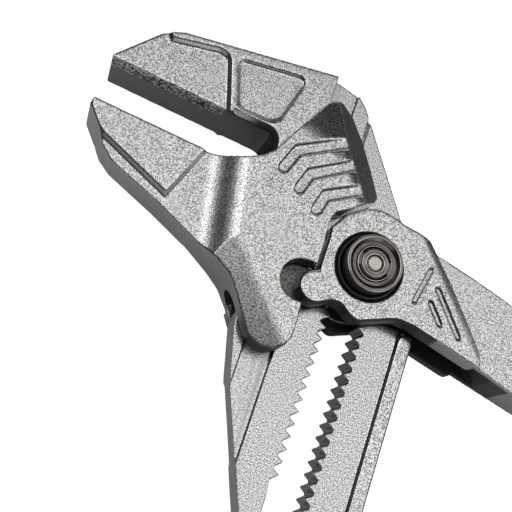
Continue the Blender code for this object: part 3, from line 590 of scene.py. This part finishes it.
def jaw_painted_shade(obj):
    """Stores on every point of the moving jaw how much painted shade it gets there."""
    points, normals = arrays(obj.data.vertices, "co")
    below = -from_pivot(points)[:, 1]
    level = np.abs(normals[:, 2])
    wall = ramp(below, *JAW_WALL_BELOW) * ramp(level, *JAW_WALL_LEVEL)
    edge = ramp(below, *JAW_EDGE_BELOW) * ramp(level, *JAW_EDGE_LEVEL)
    edge = edge * ramp(normals[:, 0], *JAW_EDGE_FACES)
    store(obj.data, "scale", np.maximum(wall, edge))


def throat_painted_shade(obj):
    """Stores on every point of the fixed jaw and leg how much painted shade it gets there."""
    points, normals = arrays(obj.data.vertices, "co")
    x, y, _ = from_pivot(points).T
    near = ramp(np.hypot(x - THROAT_AT[0], y - THROAT_AT[1]), *THROAT_REACH)
    store(obj.data, "scale", near * ramp(np.abs(normals[:, 2]), *THROAT_LEVEL))


# Pieces
def assign(obj, materials, kinds=None):
    """Gives an object its materials and, where there are several, each face the number of its own."""
    obj.data.materials.clear()
    for material in materials:
        obj.data.materials.append(material)
    if kinds is not None:
        obj.data.polygons.foreach_set("material_index", kinds.astype(np.int32))


def finish_piece(obj, body, node):
    """Stores the surface numbers of a finished piece, hangs it on the body it rides on and hides the node it
    stands for.
    """
    surface_numbers(obj.data)
    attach(obj, body)
    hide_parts(node)


def build_steel(finishes):
    """The three forgings: fixed jaw and leg, moving jaw, lever."""
    leg = worn("fixed_jaw_leg", "fixed_jaw_leg_worn", *FORGED_MESH)
    assign(leg, (finishes["blasted"], finishes["ground"], finishes["milled"]),
           gripping_face(leg, "fixed_jaw_face") + 2 * groove_floor(leg))
    # Painted shade at the end of the throat
    throat_painted_shade(leg)
    finish_piece(leg, "fixed_leg", "fixed_jaw_leg")
    jaw = worn("moving_jaw", "moving_jaw_worn", *FORGED_MESH)
    assign(jaw, (finishes["blasted"], finishes["ground"], finishes["pocket"]),
           gripping_face(jaw, "moving_jaw_face") + 2 * pocket_floor(jaw))
    # Painted shade on the walls of the lower end and on the edge towards the teeth
    jaw_painted_shade(jaw)
    finish_piece(jaw, "jaw", "moving_jaw")
    lever = worn("lever_leg", "lever_leg_worn", *FORGED_MESH)
    # The fork gap and the underside of the lever head are painted near black as shade
    assign(lever, (finishes["blasted"], finishes["black"]), lever_painted_shade(lever))
    finish_piece(lever, "lever", "lever_leg")


def button_section(rim, skirt):
    """Radius and height of the points round the section of the cap; how many of the last are inside."""
    radii = np.arange(rim, BUTTON_HOLE, -BUTTON_STEP)
    knots = np.array(BUTTON_FACE)
    heights = np.interp(-radii, -knots[:, 0], knots[:, 1])
    wall = rim - BUTTON_WALL
    outer = [(rim, skirt), (rim, 0.5 * skirt)]
    inner = [(BUTTON_HOLE, -BUTTON_LIP), (BUTTON_HOLE, -BUTTON_ROOF), (wall, -BUTTON_ROOF), (wall, skirt)]
    return np.array(outer + list(zip(radii, heights)) + inner), len(inner)


def arc_depth(turn, radius):
    """How deep the two arcs are sunk into the button, with round floors and round ends."""
    off = np.minimum(np.abs(turn - 0.5 * pi), np.abs(turn - 1.5 * pi))
    t = np.clip((ARC_HALF - off) * radius / ARC_END, 0.0, 1.0)
    along = t * t * (3.0 - 2.0 * t)
    across = np.clip(1.0 - ((radius - ARC_R) / ARC_WIDE) ** 2, 0.0, 1.0)
    return ARC_DEPTH * (across * along)


def ring_faces(steps, across):
    """Faces of a closed section of so many points that is turned in steps round an axis."""
    faces = []
    for i in range(steps):
        a, b = i * across, (i + 1) % steps * across
        for k in range(across):
            n = (k + 1) % across
            faces.append((a + k, b + k, b + n, a + n))
    return faces


def build_button(finishes):
    """A cap with a raised rim, a turned dish and a pair of arcs sunk into its boss."""
    low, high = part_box("push_button")
    section, inside = button_section(0.5 * (high[0] - low[0]) / MM, (low[2] - high[2]) / MM)
    turns = np.arange(BUTTON_STEPS) * 2 * pi / BUTTON_STEPS
    radius, turn = np.meshgrid(section[:, 0], turns)
    sunk = arc_depth(turn, radius)
    sunk[:, -inside:] = 0.0
    x = PIVOT.x + radius * np.cos(turn) * MM
    y = PIVOT.y + radius * np.sin(turn) * MM
    z = high[2] + (section[:, 1] - sunk) * MM
    verts = np.stack((x, y, z), axis=-1).reshape(-1, 3)
    mesh = bpy.data.meshes.new("push_button_turned")
    mesh.from_pydata(verts.tolist(), [], ring_faces(BUTTON_STEPS, len(section)))
    shell = bmesh.new()
    shell.from_mesh(mesh)
    bmesh.ops.recalc_face_normals(shell, faces=shell.faces)
    shell.to_mesh(mesh)
    shell.free()
    shade_smooth(mesh)
    button = link(bpy.data.objects.new("push_button_turned", mesh))
    # The side wall below the rim is painted near black as the shade of the hole round the button
    centres = from_pivot(arrays(mesh.polygons, "center")[0])
    side = np.hypot(centres[:, 0], centres[:, 1]) > BUTTON_SIDE_R
    assign(button, (finishes["chrome"], finishes["black"]), side)
    finish_piece(button, "lock", "push_button")


def coil_tree():
    """Node tree that winds a round wire into a coil spring."""
    tree = bpy.data.node_groups.new("coil", 'GeometryNodeTree')
    tree.is_modifier = True
    sockets = {}
    for name, kind in (("Turns", 'NodeSocketFloat'), ("Coil Radius", 'NodeSocketFloat'),
                       ("Rise", 'NodeSocketFloat'), ("Wire Radius", 'NodeSocketFloat'),
                       ("Foot", 'NodeSocketVector'), ("Finish", 'NodeSocketMaterial')):
        sockets[name] = tree.interface.new_socket(name, in_out='INPUT', socket_type=kind).identifier
    tree.interface.new_socket("Geometry", in_out='OUTPUT', socket_type='NodeSocketGeometry')
    new, join = tree.nodes.new, tree.links.new
    given = new('NodeGroupInput')
    spiral = new('GeometryNodeCurveSpiral')
    spiral.inputs["Resolution"].default_value = SPRING_STEPS
    for name, socket in (("Turns", "Rotations"), ("Coil Radius", "Start Radius"),
                         ("Coil Radius", "End Radius"), ("Rise", "Height")):
        join(given.outputs[name], spiral.inputs[socket])
    ring = new('GeometryNodeCurvePrimitiveCircle')
    ring.inputs["Resolution"].default_value = WIRE_SIDES
    join(given.outputs["Wire Radius"], ring.inputs["Radius"])
    tube = new('GeometryNodeCurveToMesh')
    tube.inputs["Fill Caps"].default_value = True
    join(spiral.outputs["Curve"], tube.inputs["Curve"])
    join(ring.outputs["Curve"], tube.inputs["Profile Curve"])
    shift = new('GeometryNodeTransform')
    join(tube.outputs["Mesh"], shift.inputs["Geometry"])
    join(given.outputs["Foot"], shift.inputs["Translation"])
    real = new('GeometryNodeRealizeInstances')
    join(shift.outputs["Geometry"], real.inputs["Geometry"])
    paint = new('GeometryNodeSetMaterial')
    join(real.outputs["Geometry"], paint.inputs["Geometry"])
    join(given.outputs["Finish"], paint.inputs["Material"])
    join(paint.outputs["Geometry"], new('NodeGroupOutput').inputs["Geometry"])
    return tree, sockets


def build_spring(finish):
    """A coil spring wound in the space of its solid."""
    low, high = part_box("button_spring")
    wire = SPRING_WIRE_R * MM
    tree, sockets = coil_tree()
    mesh = bpy.data.meshes.new("button_spring_wound")
    spring = link(bpy.data.objects.new("button_spring_wound", mesh))
    wind = spring.modifiers.new("wind", 'NODES')
    wind.node_group = tree
    for name, value in (("Turns", SPRING_TURNS), ("Coil Radius", 0.5 * (high[1] - low[1]) - wire),
                        ("Rise", high[2] - low[2] - 2 * wire), ("Wire Radius", wire),
                        ("Foot", (PIVOT.x, PIVOT.y, low[2] + wire)), ("Finish", finish)):
        wind[sockets[name]] = value
    settle(spring)
    shade_smooth(spring.data)
    finish_piece(spring, "carriage", "button_spring")
    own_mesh(spring)


def build_pivot_set(finishes):
    """The turned pieces of the pivot, its button and its spring."""
    for node, meshing, finish, body, slot in (
            # The bushes take the near-black finish: dark steel, painted as the shade of the hole round the button
            ("front_bush", TURNED_MESH, "black", "carriage", "dark_steel"),
            ("back_bush", TURNED_MESH, "black", "carriage", "dark_steel"),
            ("front_thrust_washer", WASHER_MESH, "bare", "carriage", "ground_steel"),
            ("back_thrust_washer", WASHER_MESH, "bare", "carriage", "ground_steel"),
            ("joint_bolt", TURNED_MESH, "chrome", "lock", "dark_steel"),
            ("button_pin", PIN_MESH, "pin", "lock", "ground_steel")):
        piece = worn(node, node + "_worn", *meshing)
        assign(piece, (finishes[finish],))
        finish_piece(piece, body, node)
    build_button(finishes)
    build_spring(finishes["bare"])


def build_grips(finishes):
    """The moulded grips of the two handles."""
    for node, body in (("fixed_grip", "fixed_leg"), ("lever_grip", "lever")):
        grip = worn(node, node + "_moulded", *GRIP_MESH)
        assign(grip, (finishes["plastic"],))
        finish_piece(grip, body, node)


# Stage
def build_floor():
    """A floor that the camera sees nearly white. The light on the tool comes off a pale pool in it."""
    mesh = bpy.data.meshes.new("floor")
    shell = bmesh.new()
    bmesh.ops.create_grid(shell, x_segments=1, y_segments=1, size=FLOOR_HALF)
    shell.to_mesh(mesh)
    shell.free()
    floor = link(bpy.data.objects.new("floor", mesh))
    floor.location.z = -FLOOR_DROP * MM
    s = Shader("pale_floor")
    pool = (PIVOT.x + POOL_AT[0] * MM, PIVOT.y + POOL_AT[1] * MM, 0.0)
    away = s.vector_math('DISTANCE', s.coords["Object"], pool)
    far = s.span(away, POOL_EDGE[0] * MM, POOL_EDGE[1] * MM)
    for name, value in (("Base Color", s.mix(far, POOL_TONE, FAR_TONE)), ("Roughness", FLOOR_ROUGH),
                        ("Emission Color", GLOW_TONE),
                        ("Emission Strength", s.math('MULTIPLY', s.camera_ray(), FLOOR_GLOW))):
        s.feed(s.bsdf.inputs[name], value)
    mesh.materials.append(s.owner)


def build_light():
    """A dome of soft studio light, made of the panels, the glow and the walls that are listed above."""
    s = Shader("studio", "worlds")
    bpy.context.scene.world = s.owner
    heading = s.coords["Generated"]
    along = s.axes(heading)
    panel = s.span(along["Y"], 0.0, 1.0, PANEL_POWER, PANEL_POWER * (1.0 - PANEL_DIMS), 'LINEAR')
    for axis, edge in PANEL_EDGES:
        panel = s.math('MULTIPLY', panel, s.span(along[axis], *edge))
    glow = s.vector_math('DOT_PRODUCT', heading, Vector(GLOW_TOWARDS).normalized())
    glow = s.math('POWER', s.math('MAXIMUM', glow, 0.0), GLOW_NARROW)
    side = s.vector_math('DOT_PRODUCT', heading, Vector(SIDE_TOWARDS).normalized())
    total = s.math('ADD', panel, s.math('MULTIPLY', glow, GLOW_POWER))
    for more in (s.span(along["Y"], *FRONT_EDGE, 0.0, FRONT_POWER),
                 s.span(along["Y"], *BACK_EDGE, 0.0, BACK_POWER),
                 s.span(side, *SIDE_EDGE, 0.0, SIDE_POWER),
                 s.span(along["Z"], *WALL_TOP, WALLS, ROOM)):
        total = s.math('ADD', total, more)
    lit = s.tree.nodes["Background"]
    s.feed(lit.inputs["Color"], total)
    pale = s.node('ShaderNodeBackground')
    s.feed(pale.inputs["Color"], BACKDROP)
    shown = s.node('ShaderNodeMixShader')
    for socket, value in zip(shown.inputs, (s.camera_ray(), lit.outputs[0], pale.outputs[0])):
        s.feed(socket, value)
    s.feed(s.tree.nodes["World Output"].inputs["Surface"], shown.outputs[0])
    bpy.context.scene.view_settings.view_transform = 'Standard'


def build_camera():
    camera = bpy.data.cameras.new("camera")
    camera.lens = CAMERA_LENS
    camera.sensor_width = CAMERA_SENSOR
    camera.clip_start = CAMERA_NEAR * MM
    obj = link(bpy.data.objects.new("camera", camera))
    obj.location = PIVOT + Vector(CAMERA_AT) * MM
    obj.rotation_euler = Euler([radians(a) for a in CAMERA_TURN], 'XYZ')
    bpy.context.scene.camera = obj


def main():
    finishes = {"blasted": blasted_steel(), "ground": ground_steel(), "milled": milled_steel(),
                "pocket": pocket_steel(), "chrome": dark_chrome(), "black": black_oxide_and_painted_shade(),
                "pin": pin_steel(), "bare": bare_steel(), "plastic": grip_plastic()}
    build_steel(finishes)
    build_pivot_set(finishes)
    build_grips(finishes)
    build_floor()
    build_light()
    build_camera()


main()
